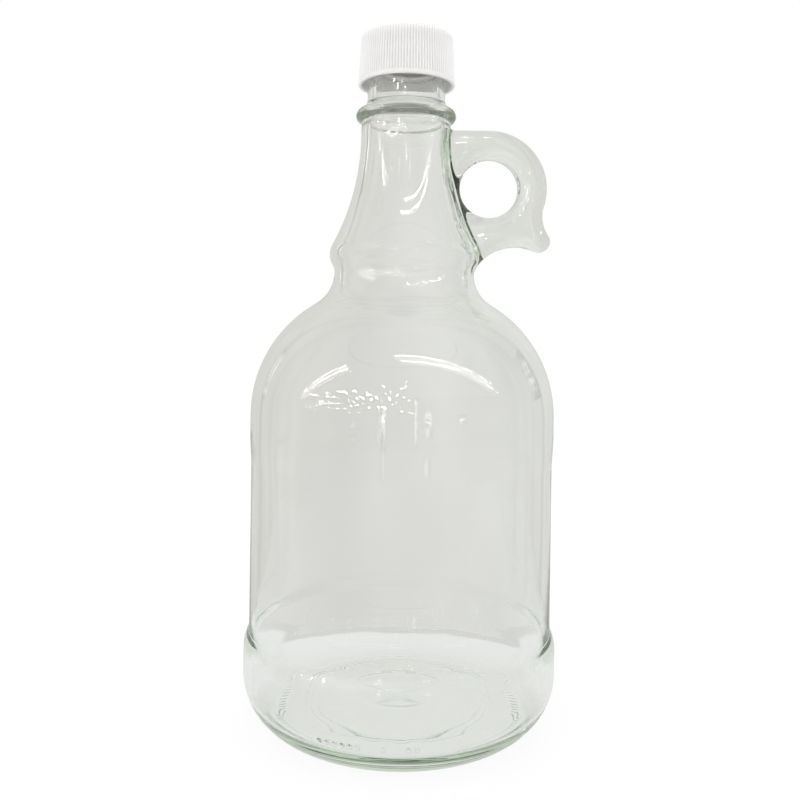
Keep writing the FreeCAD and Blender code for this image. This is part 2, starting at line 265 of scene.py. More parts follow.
class JugForm:
    """Centres and levels of the jug, from its sizes."""

    def __init__(self, s):
        self.s = s
        self.band = s.body_radius + BAND_PROUD
        self.shoulder = complex(s.body_radius - SHOULDER_ARC, s.shoulder_height)
        self.waist_low = raised_centre(
            self.shoulder, SHOULDER_ARC + WAIST_LOWER_ARC, s.waist_radius + WAIST_LOWER_ARC)
        self.waist = self.waist_low.imag
        self.waist_up = complex(s.waist_radius + WAIST_UPPER_ARC, self.waist)
        self.bulge = raised_centre(self.waist_up, WAIST_UPPER_ARC + BULGE_ARC,
                                   s.waist_radius + s.bulge_proud - BULGE_ARC)
        self.neck = raised_centre(self.bulge, BULGE_ARC + NECK_ARC, s.neck_radius + NECK_ARC)
        self.under = self.neck.imag + NECK_STRAIGHT
        self.under_centre = complex(s.neck_radius + BEAD_UNDER_ARC, self.under)
        self.bead = raised_centre(self.under_centre, BEAD_UNDER_ARC + BEAD_ARC,
                                  s.neck_radius + s.bead_proud - BEAD_ARC)
        self.flare = raised_centre(self.bead, BEAD_ARC + FLARE_ARC,
                                   s.finish_radius + FLARE_ARC)
        self.lip = self.flare.imag + FINISH_LENGTH
        self.bore = s.finish_radius - s.finish_wall

    def follow_neck(self, path, wall):
        """Shoulder, waist, bulge and neck, set in from the outside by a wall."""
        bulge_start = touch(self.waist_up, WAIST_UPPER_ARC + wall, self.bulge, BULGE_ARC - wall)
        bulge_end = touch(self.bulge, BULGE_ARC - wall, self.neck, NECK_ARC + wall)
        path.arc(touch(self.shoulder, SHOULDER_ARC - wall, self.waist_low,
                       WAIST_LOWER_ARC + wall), self.shoulder)
        path.arc(complex(self.s.waist_radius - wall, self.waist), self.waist_low)
        path.arc(bulge_start, self.waist_up).arc(bulge_end, self.bulge)
        path.arc(complex(self.s.neck_radius - wall, self.neck.imag), self.neck)

    def neck_points(self, step):
        """The outside of the neck, from the shoulder's start, left out."""
        path = Path(complex(self.s.body_radius, self.s.shoulder_height), step)
        self.follow_neck(path, 0)
        return path.points[1:]

    def foot(self):
        """Standing ring, and where the heel's two arcs meet."""
        foot = self.band - FOOT_INSET
        rise = HEEL_HEIGHT - FOOT_EDGE_ARC
        heel_arc = ((FOOT_INSET ** 2 + rise ** 2 - FOOT_EDGE_ARC ** 2)
                    / (2 * (FOOT_INSET - FOOT_EDGE_ARC)))
        heel = complex(self.band - heel_arc, HEEL_HEIGHT)
        edge = complex(foot, FOOT_EDGE_ARC)
        meeting = heel + (edge - heel) * (heel_arc / (heel_arc - FOOT_EDGE_ARC))
        return foot, edge, heel, meeting

    def heel_points(self):
        foot, edge, heel, meeting = self.foot()
        path = Path(complex(foot, 0)).arc(meeting, edge)
        return path.arc(complex(self.band, HEEL_HEIGHT), heel).points[1:]

    def side_points(self):
        """Lower band, label panel and upper band."""
        panel = self.s.body_radius - self.s.panel_recess
        top = complex(self.s.body_radius, self.s.shoulder_height)
        upper = top - 1j * UPPER_BAND
        path = Path(complex(self.band, HEEL_HEIGHT))
        path.line(complex(self.band, HEEL_HEIGHT + LOWER_BAND), WALL_STEP)
        path.blend(complex(panel, HEEL_HEIGHT + LOWER_BAND + LOWER_BLEND))
        path.line(complex(panel, upper.imag - UPPER_BLEND), WALL_STEP)
        return path.blend(upper).line(top, WALL_STEP).points[1:]

    def finish_points(self):
        """Bead, flare, tube and lip, from above the handle to the bore."""
        s = self.s
        path = Path(complex(s.neck_radius, self.under), FINE_STEP)
        path.arc(touch(self.under_centre, BEAD_UNDER_ARC, self.bead, BEAD_ARC),
                 self.under_centre)
        path.arc(complex(s.neck_radius + s.bead_proud, self.bead.imag), self.bead)
        path.arc(touch(self.bead, BEAD_ARC, self.flare, FLARE_ARC), self.bead)
        path.arc(complex(s.finish_radius, self.flare.imag), self.flare)
        lip_side = complex(s.finish_radius, self.lip - LIP_ARC)
        path.line(lip_side).arc(complex(s.finish_radius - LIP_ARC, self.lip), lip_side - LIP_ARC)
        return path.line(complex(self.bore, self.lip)).points

    def inside_points(self):
        """From the lip down the bore and the inner wall to the floor's edge and the axis."""
        s = self.s
        inner = s.body_radius - s.wall
        band = self.band - LOWER_WALL
        edge = complex(band - INNER_HEEL_ARC, FLOOR_EDGE)
        heel = edge + 1j * INNER_HEEL_ARC
        axis = complex(0, s.push_up + s.base_thickness)
        path = Path(axis, 2 * MEDIUM_STEP).dome(edge)
        path.step = MEDIUM_STEP
        path.arc(complex(band, heel.imag), heel)
        path.line(complex(band, HEEL_HEIGHT + LOWER_BAND), WALL_STEP)
        path.blend(complex(inner, HEEL_HEIGHT + LOWER_BAND + LOWER_BLEND))
        path.line(complex(inner, s.shoulder_height), WALL_STEP)
        path.step = 2 * MEDIUM_STEP
        self.follow_neck(path, s.wall)
        path.step = MEDIUM_STEP
        path.corners(path.at + 1j * BORE_STEP_START)
        path.blend(complex(self.bore, path.at.imag + BORE_STEP))
        path.line(complex(self.bore, self.lip), WALL_STEP)
        return path.points[-2::-1]


# ---------------- handle skin

def gap_to_line(points, start, end):
    """Signed distance to a straight side, below zero to the left of it."""
    along = (end - start) / abs(end - start)
    local = (points - start) / along
    reach = np.clip(local.real, 0, abs(end - start))
    return np.where(local.imag > 0, -1, 1) * np.abs(local - reach)


def gap_to_arc(points, start, end, centre):
    """Signed distance to the shorter arc, below zero inside its circle."""
    radius = abs(start - centre)
    half_turn = cmath.phase((end - centre) / (start - centre)) / 2
    middle = (start - centre) / radius * cmath.rect(1, half_turn)
    around = np.abs(np.angle((points - centre) / middle))
    to_ends = np.minimum(np.abs(points - start), np.abs(points - end))
    out = np.abs(points - centre) - radius
    gap = np.where(around <= abs(half_turn), np.abs(out), to_ends)
    return np.where(out > 0, 1, -1) * gap


def melted(gap_a, gap_b, width):
    """The smaller of two gaps, with the corner between them rounded over a width."""
    near = np.maximum(width - np.abs(gap_a - gap_b), 0) / width
    return np.minimum(gap_a, gap_b) - near ** 2 * width / 4


class Handle:
    """Ear with a finger hole and a spur. Outline points are x + height * 1j."""

    def __init__(self, form):
        s = form.s
        self.form = form
        self.ring = s.hole_radius + s.handle_width
        self.top = form.under - HANDLE_BEAD_GAP
        level = self.top - self.ring
        neck_side = form.neck.real - math.sqrt(NECK_ARC ** 2 - (form.neck.imag - level) ** 2)
        self.hole = complex(neck_side + HANDLE_WEB + s.hole_radius, level)
        towards_spur = cmath.rect(1, SPUR_ANGLE)
        distance = self.ring + SPUR_GAP + SPUR_RADIUS
        self.spur = self.hole + towards_spur * distance
        from_ring = self.ring + SPUR_HOLLOW
        from_spur = SPUR_RADIUS + SPUR_HOLLOW
        along = (from_ring ** 2 - from_spur ** 2 + distance ** 2) / (2 * distance)
        across = math.sqrt(from_ring ** 2 - along ** 2)
        self.hollow = self.hole + towards_spur * complex(along, across)
        arch_level = level - self.ring - ARCH_RADIUS
        reach = math.sqrt((ARCH_RADIUS + SPUR_RADIUS) ** 2 - (self.spur.imag - arch_level) ** 2)
        self.arch = complex(self.spur.real - reach, arch_level)
        root_x = s.waist_radius - HANDLE_ROOT
        self.root = complex(root_x, arch_level
                            + math.sqrt(ARCH_RADIUS ** 2 - (self.arch.real - root_x) ** 2))

        profile = np.array(form.neck_points(FINE_STEP) + [complex(s.neck_radius, form.under)])
        self.heights = profile.imag
        self.radii = profile.real
        slope = np.gradient(self.radii, self.heights)
        self.lean = 1 / np.sqrt(1 + slope ** 2)

    def outline_gap(self, points):
        """Signed distance in the ear's plane, below zero inside the glass."""
        ring_top = complex(self.hole.real, self.top)
        ring_end = touch(self.hole, self.ring, self.hollow, SPUR_HOLLOW)
        spur_start = touch(self.spur, SPUR_RADIUS, self.hollow, SPUR_HOLLOW)
        spur_end = touch(self.spur, SPUR_RADIUS, self.arch, ARCH_RADIUS)
        root_low = complex(0, self.root.imag)
        root_high = complex(0, self.top)
        gaps = [self.form.s.hole_radius - np.abs(points - self.hole)]
        for start, end in ((ring_top, root_high), (root_high, root_low), (root_low, self.root)):
            gaps.append(gap_to_line(points, start, end))
        for start, end, centre, side in ((ring_top, ring_end, self.hole, 1),
                                         (ring_end, spur_start, self.hollow, -1),
                                         (spur_start, spur_end, self.spur, 1),
                                         (spur_end, self.root, self.arch, -1)):
            gaps.append(side * gap_to_arc(points, start, end, centre))
        gaps = np.stack(gaps)
        nearest = np.abs(gaps).argmin(0)[None]
        return np.take_along_axis(gaps, nearest, 0)[0]

    def gap(self, x, y, z):
        """Signed distance to the neck and the ear, melted together."""
        s = self.form.s
        lean = np.interp(z, self.heights, self.lean)
        neck = (np.hypot(x, y) - np.interp(z, self.heights, self.radii)) * lean
        side = self.outline_gap(x + z * 1j)
        flat = np.abs(y) - s.handle_thickness / 2
        slope = (side + flat + s.handle_bevel) / math.sqrt(2)
        ear = -melted(-np.maximum(side, flat), -slope, s.handle_crease)
        return melted(neck, ear, s.handle_melt)

    def settle(self, points):
        """Moves points along the slope of the gap until they lie on the skin."""
        for _ in range(SKIN_ROUNDS):
            value = self.gap(*points.T)
            slope = np.empty_like(points)
            for axis in range(3):
                shift = np.zeros(3)
                shift[axis] = SLOPE_STEP
                slope[:, axis] = self.gap(*(points + shift).T) - self.gap(*(points - shift).T)
            slope /= 2 * SLOPE_STEP
            points = points - (value / (slope ** 2).sum(1))[:, None] * slope
        return points


def net_faces(value, low, cell):
    """Surface net: one point in each grid cell that the surface crosses, joined by quads."""
    cells = tuple(n - 1 for n in value.shape)
    total = np.zeros(cells + (3,))
    count = np.zeros(cells)
    crossings = []
    for axis in range(3):
        across = ((axis + 1) % 3, (axis + 2) % 3)
        before = np.take(value, range(cells[axis]), axis)
        after = np.take(value, range(1, cells[axis] + 1), axis)
        crossed = (before < 0) != (after < 0)
        place = np.argwhere(crossed)
        spot = place.astype(float)
        spot[:, axis] += (before / np.where(crossed, before - after, 1))[crossed]
        corners = []
        inside = np.ones(len(place), bool)
        for step in ((-1, -1), (0, -1), (0, 0), (-1, 0)):
            corner = place.copy()
            corner[:, across[0]] += step[0]
            corner[:, across[1]] += step[1]
            valid = ((corner >= 0) & (corner < cells)).all(1)
            inside &= valid
            np.add.at(total, tuple(corner[valid].T), spot[valid])
            np.add.at(count, tuple(corner[valid].T), 1)
            corners.append(corner)
        crossings.append((corners, inside, (before < 0)[crossed]))
    number = np.full(cells, -1)
    number[count > 0] = np.arange((count > 0).sum())
    points = low + cell * total[count > 0] / count[count > 0][:, None]
    quads = []
    for corners, inside, outward in crossings:
        quad = np.stack([number[tuple(c[inside].T)] for c in corners], 1)
        quads.append(np.where(outward[inside][:, None], quad, quad[:, ::-1]))
    return points, np.concatenate(quads)


def relax(points, quads):
    """Moves each point halfway to the middle of its neighbours."""
    total = np.zeros_like(points)
    count = np.zeros(len(points))
    for a, b in ((0, 1), (1, 2), (2, 3), (3, 0)):
        for start, end in ((quads[:, a], quads[:, b]), (quads[:, b], quads[:, a])):
            np.add.at(total, start, points[end])
            np.add.at(count, start, 1)
    return (points + total / count[:, None]) / 2


def handle_skin(handle):
    """Mesh of the neck with its ear, cut level below and above. Returns points and faces."""
    margin = 3 * SKIN_CELL
    widest = max(handle.radii[handle.heights > SKIN_LOW]) + margin
    low = np.array([-widest, -widest, SKIN_LOW - margin])
    high = np.array([JUG_HIGH.x + margin, widest, SKIN_HIGH + margin])
    sizes = np.ceil((high - low) / SKIN_CELL).astype(int) + 1
    grid = [low[i] + SKIN_CELL * np.arange(sizes[i]) for i in range(3)]
    value = handle.gap(*np.meshgrid(*grid, indexing="ij"))
    points, quads = net_faces(value, low, SKIN_CELL)
    for _ in range(SKIN_ROUNDS):
        points = handle.settle(relax(points, quads))
    for cut in (SKIN_LOW, SKIN_HIGH):
        close = np.abs(points[:, 2] - cut) < SKIN_SNAP * SKIN_CELL
        points[close, 2] = cut
    mesh = bpy.data.meshes.new("skin")
    mesh.from_pydata(points.tolist(), [], quads.tolist())
    skin = bmesh.new()
    skin.from_mesh(mesh)
    bpy.data.meshes.remove(mesh)
    for cut, side in ((SKIN_LOW, -1), (SKIN_HIGH, 1)):
        bmesh.ops.bisect_plane(skin, geom=skin.verts[:] + skin.edges[:] + skin.faces[:],
                               dist=ON_CUT, plane_co=(0, 0, cut),
                               plane_no=(0, 0, side), clear_outer=True)
    skin.verts.index_update()
    points = np.array([v.co for v in skin.verts])
    faces = [[v.index for v in face.verts] for face in skin.faces]
    skin.free()
    return points, faces


# ---------------- meshes

EVEN_ANGLES = np.linspace(-math.pi, math.pi, RING_STEPS, endpoint=False)


class Shell:
    """Collects rings of points and the faces between them."""

    def __init__(self):
        self.points = []
        self.faces = []

    def ring(self, spot, angles):
        """Adds one level ring, or one point on the axis. Returns its numbers and angles."""
        first = len(self.points)
        if spot.real < ON_CUT:
            self.points.append((0.0, 0.0, spot.imag))
            return np.array([first]), np.zeros(1)
        for angle in angles:
            self.points.append((spot.real * math.cos(angle), spot.real * math.sin(angle),
                                spot.imag))
        return np.arange(first, first + len(angles)), angles

    def join(self, ring_a, ring_b):
        """Faces between two rings: squares where their angles match, else triangles."""
        (a, angle_a), (b, angle_b) = ring_a, ring_b
        if len(a) == 1 or len(b) == 1:
            tip, loop = (a, b) if len(a) == 1 else (b, a)
            self.faces += zip(np.repeat(tip, len(loop)), loop, np.roll(loop, -1))
            return
        if len(a) == len(b) and np.allclose(angle_a, angle_b):
            self.faces += zip(a, np.roll(a, -1), np.roll(b, -1), b)
            return
        i = j = 0
        turn_a = np.append(angle_a, angle_a[0] + 2 * math.pi)
        turn_b = np.append(angle_b, angle_b[0] + 2 * math.pi)
        while i < len(a) or j < len(b):
            here = (a[i % len(a)], b[j % len(b)])
            if j == len(b) or (i < len(a) and turn_a[i + 1] < turn_b[j + 1]):
                i += 1
                self.faces.append((here[0], a[i % len(a)], here[1]))
            else:
                j += 1
                self.faces.append((here[0], b[j % len(b)], here[1]))

    def turned(self, rings):
        """Adds rings from (spot, angles) pairs and joins them in order."""
        made = [self.ring(spot, angles) for spot, angles in rings]
        for ring_a, ring_b in zip(made, made[1:]):
            self.join(ring_a, ring_b)
        return made

    def patch(self, points, faces, cuts):
        """Adds a loose skin. Returns the rings of its points that lie on the level cuts."""
        first = len(self.points)
        self.points += points.tolist()
        self.faces += [tuple(first + i for i in face) for face in faces]
        rings = []
        for cut in cuts:
            on_cut = np.flatnonzero(np.abs(points[:, 2] - cut) < ON_CUT)
            angles = np.arctan2(points[on_cut, 1], points[on_cut, 0])
            order = np.argsort(angles)
            rings.append((first + on_cut[order], angles[order]))
        return rings


def place_object(name, data):
    placed = bpy.data.objects.new(name, data)
    bpy.context.scene.collection.objects.link(placed)
    return placed


def solid_object(name, points, faces):
    """A closed, smooth-shaded mesh object with its faces turned outward."""
    mesh = bpy.data.meshes.new(name)
    mesh.from_pydata([tuple(p) for p in points], [], faces)
    tidy = bmesh.new()
    tidy.from_mesh(mesh)
    bmesh.ops.recalc_face_normals(tidy, faces=tidy.faces)
    for face in tidy.faces:
        face.smooth = True
    tidy.to_mesh(mesh)
    tidy.free()
    mesh.update()
    return place_object(name, mesh)


def smooth_step(value, low, high):
    """0 below low to 1 above high, with level ends."""
    share = np.clip((value - low) / (high - low), 0, 1)
    return share * share * (3 - 2 * share)


def thread_height(angle, height, start, turns):
    """How far a helical ridge stands out at an angle and a height."""
    best = 0.0
    for lap in range(math.ceil(turns)):
        at = angle / (2 * math.pi) % 1 + lap
        if at > turns:
            continue
        off = abs(height - start - THREAD_PITCH * at)
        ramp = smooth_step(-off, -THREAD_ROOT / 2, -THREAD_CREST / 2)
        ends = smooth_step(min(at, turns - at), 0, THREAD_FADE)
        best = max(best, float(ramp * ends))
    return best


# ---------------- the glass

DOT_ANGLES = (-26.2, -23.4, -20.8, -18.2, -15.6, -13.0, -4.7, 3.3, 6.0)
DOT_LEVEL = 11.3 * MM
DOT_RADIUS = 0.95 * MM
DOT_ZONE = (9.6 * MM, 13.0 * MM)
DOT_INSIDE = 50.0 * MM      # dots stand out beyond this radius
DOT_STEP = 0.25 * MM
DOT_MARGIN = 8              # fine mesh steps beyond the outermost dots
KNURL_ZONE = (38.0 * MM, 41.9 * MM)
KNURL_SHARE = 6             # mesh steps for each groove
# Mould rings under the floor: radius, depth and width
RING_MARKS = ((14.0 * MM, 0.12 * MM, 0.8 * MM), (28.8 * MM, 0.2 * MM, 0.45 * MM),
              (30.6 * MM, 0.2 * MM, 0.45 * MM))
FRONT = -math.pi / 2

# How much of the inner unevenness shows at each height: calm on the floor and the shoulder
RIPPLE_HEIGHTS = np.array([10, 50, 90, 110, 140, 160]) * MM
RIPPLE_SHARES = (0.2, 1.0, 1.0, 0.25, 0.25, 1.0)
INNER_PATTERN = (38.0, 38.0, 20.9)      # waves to a metre, longer along the height
OUTER_PATTERN = (30.0, 30.0, 30.0)
OUTER_OFFSET = Vector((7.0, 3.0, 1.0))
NECK_CALM = 10.0 * MM       # stretch over which the unevenness dies out at the neck's top
FOOT_CALM = (1.0 * MM, 20.0 * MM)


def dot_angles(radius):
    """Ring angles, close together over the stretch that carries the dots."""
    fine = DOT_STEP / radius
    start = FRONT + math.radians(DOT_ANGLES[0]) - DOT_MARGIN * fine
    end = FRONT + math.radians(DOT_ANGLES[-1]) + DOT_MARGIN * fine
    close = np.arange(start, end, fine)
    coarse = EVEN_ANGLES[(EVEN_ANGLES < start - fine) | (EVEN_ANGLES > close[-1] + fine)]
    return np.sort(np.concatenate([close, coarse]))


def base_rings(form, knurl_angles):
    """From the axis under the push-up out over the knurled standing ring."""
    foot = form.foot()[0]
    inside = foot - FOOT_FLAT
    rings = [(complex(0, form.s.push_up), EVEN_ANGLES)]
    floor = Path(complex(0, form.s.push_up), MEDIUM_STEP / 2).dome(complex(inside, 0))
    for spot in floor.points[1:]:
        for mark, depth, width in RING_MARKS:
            spot += 1j * depth * math.exp(-((spot.real - mark) / width) ** 2)
        angles = knurl_angles if spot.real > KNURL_ZONE[0] else EVEN_ANGLES
        rings.append((spot, angles))
    flat = Path(complex(inside, 0), FINE_STEP).line(complex(foot, 0))
    return rings + [(spot, knurl_angles) for spot in flat.points[1:]]


def side_rings(form, knurl_angles):
    """Heel, bands and panel, up to the shoulder."""
    rings = []
    for spot in form.heel_points():
        fine = spot.imag < HEEL_HEIGHT / 2 and spot.real < KNURL_ZONE[1]
        if spot.imag < DOT_ZONE[0] or spot.imag > DOT_ZONE[1]:
            rings.append((spot, knurl_angles if fine else EVEN_ANGLES))
    heel, meeting = form.foot()[2:]
    heel_arc = abs(meeting - heel)
    for height in np.arange(*DOT_ZONE, DOT_STEP):
        reach = math.sqrt(heel_arc ** 2 - (height - heel.imag) ** 2)
        rings.append((complex(heel.real + reach, height), dot_angles(form.band)))
    rings.sort(key=lambda ring: ring[0].imag)
    return rings + [(spot, EVEN_ANGLES) for spot in form.side_points()]


def build_glass(s):
    form = JugForm(s)
    knurl_angles = np.linspace(-math.pi, math.pi, s.knurl_count * KNURL_SHARE, endpoint=False)
    shell = Shell()
    lower = base_rings(form, knurl_angles) + side_rings(form, knurl_angles)
    lower += [(spot, EVEN_ANGLES) for spot in form.neck_points(MEDIUM_STEP)
              if spot.imag < SKIN_LOW - SKIN_CELL / 2]
    lower = shell.turned(lower)
    points, faces = handle_skin(Handle(form))
    skin_low, skin_high = shell.patch(points, faces, (SKIN_LOW, SKIN_HIGH))
    finish_start = len(shell.points)
    upper = shell.turned([(spot, EVEN_ANGLES) for spot in form.finish_points()])
    inside_start = len(shell.points)
    inner = shell.turned([(spot, EVEN_ANGLES) for spot in form.inside_points()])
    shell.join(lower[-1], skin_low)
    shell.join(skin_high, upper[0])
    shell.join(upper[-1], inner[0])
    piece = solid_object("glass_jug", shell.points, shell.faces)
    shape_glass(piece.data, form, finish_start, inside_start)
    return piece


def shape_glass(mesh, form, finish_start, inside_start):
    """Thread, dots, knurling and the gentle unevenness of blown glass."""
    s = form.s
    places = np.array([point.co for point in mesh.vertices])
    normals = np.array([point.normal for point in mesh.vertices])
    heights = places[:, 2]
    angles = np.arctan2(places[:, 1], places[:, 0])
    radii = np.hypot(places[:, 0], places[:, 1])
    outward = np.zeros(len(places))
    number = np.arange(len(places))
    body = number < finish_start
    inner = number >= inside_start

    start = form.lip - THREAD_BELOW_LIP
    end = start + THREAD_PITCH * THREAD_TURNS + THREAD_ROOT
    tube = ~body & ~inner & (heights > start - THREAD_ROOT) & (heights < end)
    for i in np.flatnonzero(tube):
        outward[i] += THREAD_HEIGHT * thread_height(angles[i], heights[i], start, THREAD_TURNS)

    heel = (radii > DOT_INSIDE) & (heights > DOT_ZONE[0]) & (heights < DOT_ZONE[1])
    for turn in DOT_ANGLES:
        centre_angle = FRONT + math.radians(turn)
        off = np.hypot((angles - centre_angle) * radii, heights - DOT_LEVEL)
        dome = np.sqrt(np.clip(1 - (off / DOT_RADIUS) ** 2, 0, 1))
        outward += np.where(heel, s.dot_height * dome, 0)

    bottom = body & (heights < DOT_ZONE[0])
    wave = 0.5 - 0.5 * np.cos(angles * s.knurl_count)
    zone = smooth_step(radii, KNURL_ZONE[0], KNURL_ZONE[0] + MEDIUM_STEP / 2)
    zone *= 1 - smooth_step(radii, KNURL_ZONE[1] - MEDIUM_STEP / 2, KNURL_ZONE[1])
    outward -= np.where(bottom, s.knurl_depth * wave * zone, 0)

    calm = 1 - smooth_step(heights, form.neck.imag - NECK_CALM, form.neck.imag)
    share = calm * np.interp(heights, RIPPLE_HEIGHTS, RIPPLE_SHARES)
    for i in np.flatnonzero(inner & (calm > 0)):
        spot = Vector(places[i] * INNER_PATTERN)
        outward[i] += share[i] * s.inner_ripple * noise.noise(spot)
    settled = smooth_step(heights, *FOOT_CALM) * calm
    for i in np.flatnonzero(~inner & (settled > 0)):
        spot = Vector(places[i] * OUTER_PATTERN) + OUTER_OFFSET
        outward[i] -= settled[i] * s.outer_ripple * (0.5 + 0.5 * noise.noise(spot))
    places += normals * outward[:, None]
    mesh.vertices.foreach_set("co", places.ravel())
    mesh.update()


# ---------------- the cap

def build_cap(s, jug):
    lip = JUG_HIGH.z
    rim, top = CAP_LOW.z, CAP_HIGH.z
    outer_rim = CAP_HIGH.x
    inner_rim = outer_rim - CAP_WALL
    slope = CAP_DRAFT / (top - rim)
    outer_top = outer_rim - CAP_DRAFT
    inner_top = inner_rim - slope * (lip - rim)
    edge_side = complex(outer_top + slope * CAP_EDGE_ARC, top - CAP_EDGE_ARC)
    edge_over = complex(outer_top - CAP_EDGE_ARC, top)
    edge_centre = edge_over - 1j * CAP_EDGE_ARC
    outline = Path(complex(0, top), 3 * MEDIUM_STEP).line(edge_over)
    outline.step = CAP_CHAMFER
    outline.arc(edge_side, edge_centre)
    band_top = rim + RIM_BAND
    skirt_low = complex(outer_rim - slope * RIM_BAND, band_top)
    outline.line(skirt_low + 1j * CAP_CHAMFER, 2 * MEDIUM_STEP)
    outline.corners(skirt_low, skirt_low - 1j * CAP_CHAMFER,
                    complex(outer_rim - slope * CAP_CHAMFER, rim + CAP_CHAMFER),
                    complex(outer_rim - CAP_CHAMFER, rim),
                    complex(inner_rim + CAP_CHAMFER, rim),
                    complex(inner_rim, rim + CAP_CHAMFER))
    outline.line(complex(inner_top, lip), FINE_STEP).line(complex(0, lip), 3 * MEDIUM_STEP)
    angles = np.linspace(-math.pi, math.pi, s.ribs * RIB_SHARE, endpoint=False)
    shell = Shell()
    shell.turned([(spot, angles) for spot in outline.points])
    places = np.array(shell.points)
    radii = np.hypot(places[:, 0], places[:, 1])
    turn = np.arctan2(places[:, 1], places[:, 0])
    heights = places[:, 2]

    surface = outer_rim - slope * (heights - rim)
    on_skirt = smooth_step(radii, surface - CAP_WALL / 2, surface - CAP_WALL / 4)
    ribbed = smooth_step(heights, band_top - CAP_CHAMFER / 2, band_top + CAP_CHAMFER / 2)
    ribbed *= 1 - smooth_step(heights, top - 2 * CAP_EDGE_ARC, top - CAP_EDGE_ARC / 2)
    groove = (0.5 + 0.5 * np.cos(turn * s.ribs)) ** GROOVE_POWER
    radii = radii - s.rib_depth * groove * on_skirt * ribbed

    thread_start = lip - THREAD_BELOW_LIP + THREAD_PITCH / 2
    crest = jug.finish_radius + CAP_CLEARANCE
    inside = (heights < lip - CAP_CHAMFER) & (radii < surface - CAP_WALL / 2) & (radii > crest)
    for i in np.flatnonzero(inside):
        share = thread_height(turn[i], heights[i], thread_start, CAP_THREAD_TURNS)
        radii[i] += (crest - radii[i]) * share
    places[:, 0] = radii * np.cos(turn)
    places[:, 1] = radii * np.sin(turn)
    return solid_object("ribbed_cap", places, shell.faces)


# ---------------- nodes

WHITE = (1.0, 1.0, 1.0)
# A mix node's sockets by number: first, second and result
MIX_SOCKETS = {"FLOAT": (2, 3, 0), "RGBA": (6, 7, 2)}


def fresh_nodes(owner):
    owner.use_nodes = True
    owner.node_tree.nodes.clear()
    return owner.node_tree


def feed(tree, socket, value):
    """Links a socket to another one, or sets its plain value. A colour has three numbers."""
    if isinstance(value, NodeSocket):
        tree.links.new(value, socket)
    elif socket.type == "RGBA":
        socket.default_value = (*value, 1)
    else:
        socket.default_value = value


def add(tree, kind, **sockets):
    """A new node with its sockets fed by name, with _ for a space."""
    made = tree.nodes.new(kind)
    for name, value in sockets.items():
        feed(tree, made.inputs[name.replace("_", " ")], value)
    return made


def calculate(tree, operation, first, second=0.0):
    made = tree.nodes.new("ShaderNodeMath")
    made.operation = operation
    feed(tree, made.inputs[0], first)
    feed(tree, made.inputs[1], second)
    return made.outputs[0]


def product(tree, first, *others):
    for other in others:
        first = calculate(tree, "MULTIPLY", first, other)
    return first


def blend(tree, share, first, second, kind="RGBA"):
    """first where share is 0, second where share is 1."""
    mix = tree.nodes.new("ShaderNodeMix")
    mix.data_type = kind
    a, b, result = MIX_SOCKETS[kind]
    feed(tree, mix.inputs[0], share)
    feed(tree, mix.inputs[a], first)
    feed(tree, mix.inputs[b], second)
    return mix.outputs[result]


def blend_shaders(tree, share, first, second):
    mix = add(tree, "ShaderNodeMixShader", Fac=share)
    feed(tree, mix.inputs[1], first.outputs[0])
    feed(tree, mix.inputs[2], second.outputs[0])
    return mix


def ramp(tree, value, low, high):
    """0 below low to 1 above high, smooth."""
    made = add(tree, "ShaderNodeMapRange", Value=value, From_Min=low, From_Max=high)
    made.interpolation_type = "SMOOTHSTEP"
    return made.outputs[0]


def stretch(tree, value, low, high, to_low, to_high):
    """to_low below low to to_high above high, even."""
    return add(tree, "ShaderNodeMapRange", Value=value, From_Min=low, From_Max=high,
               To_Min=to_low, To_Max=to_high).outputs[0]


def cloudy(tree, place, scale, detail):
    return add(tree, "ShaderNodeTexNoise", Vector=place, Scale=scale, Detail=detail).outputs[0]


def axes(tree, place):
    """The sockets X, Y and Z of a place or a direction."""
    return add(tree, "ShaderNodeSeparateXYZ", Vector=place).outputs


def coordinates(tree):
    return add(tree, "ShaderNodeTexCoord").outputs


def ray_kinds(tree):
    """Whether a ray is the camera's own, whether it has met glass or gloss, or glass alone."""
    rays = add(tree, "ShaderNodeLightPath").outputs
    refracted = rays["Is Transmission Ray"]
    through = calculate(tree, "MAXIMUM", rays["Is Glossy Ray"], refracted)
    return rays["Is Camera Ray"], through, refracted


# ---------------- materials

def glass_material(s):
    material = bpy.data.materials.new("clear_flint_glass")
    tree = fresh_nodes(material)
    swirl = cloudy(tree, coordinates(tree)["Object"], 55.0, 1.0)
    bump = add(tree, "ShaderNodeBump", Height=swirl, Strength=0.25, Distance=0.1 * MM)
    surface = add(tree, "ShaderNodeBsdfPrincipled", Base_Color=WHITE, Roughness=0.0, IOR=1.5,
                  Transmission_Weight=1.0, Normal=bump.outputs[0])
    volume = add(tree, "ShaderNodeVolumeAbsorption", Color=s.glass_colour,
                 Density=s.glass_depth)
    add(tree, "ShaderNodeOutputMaterial", Surface=surface.outputs[0], Volume=volume.outputs[0])
    return material


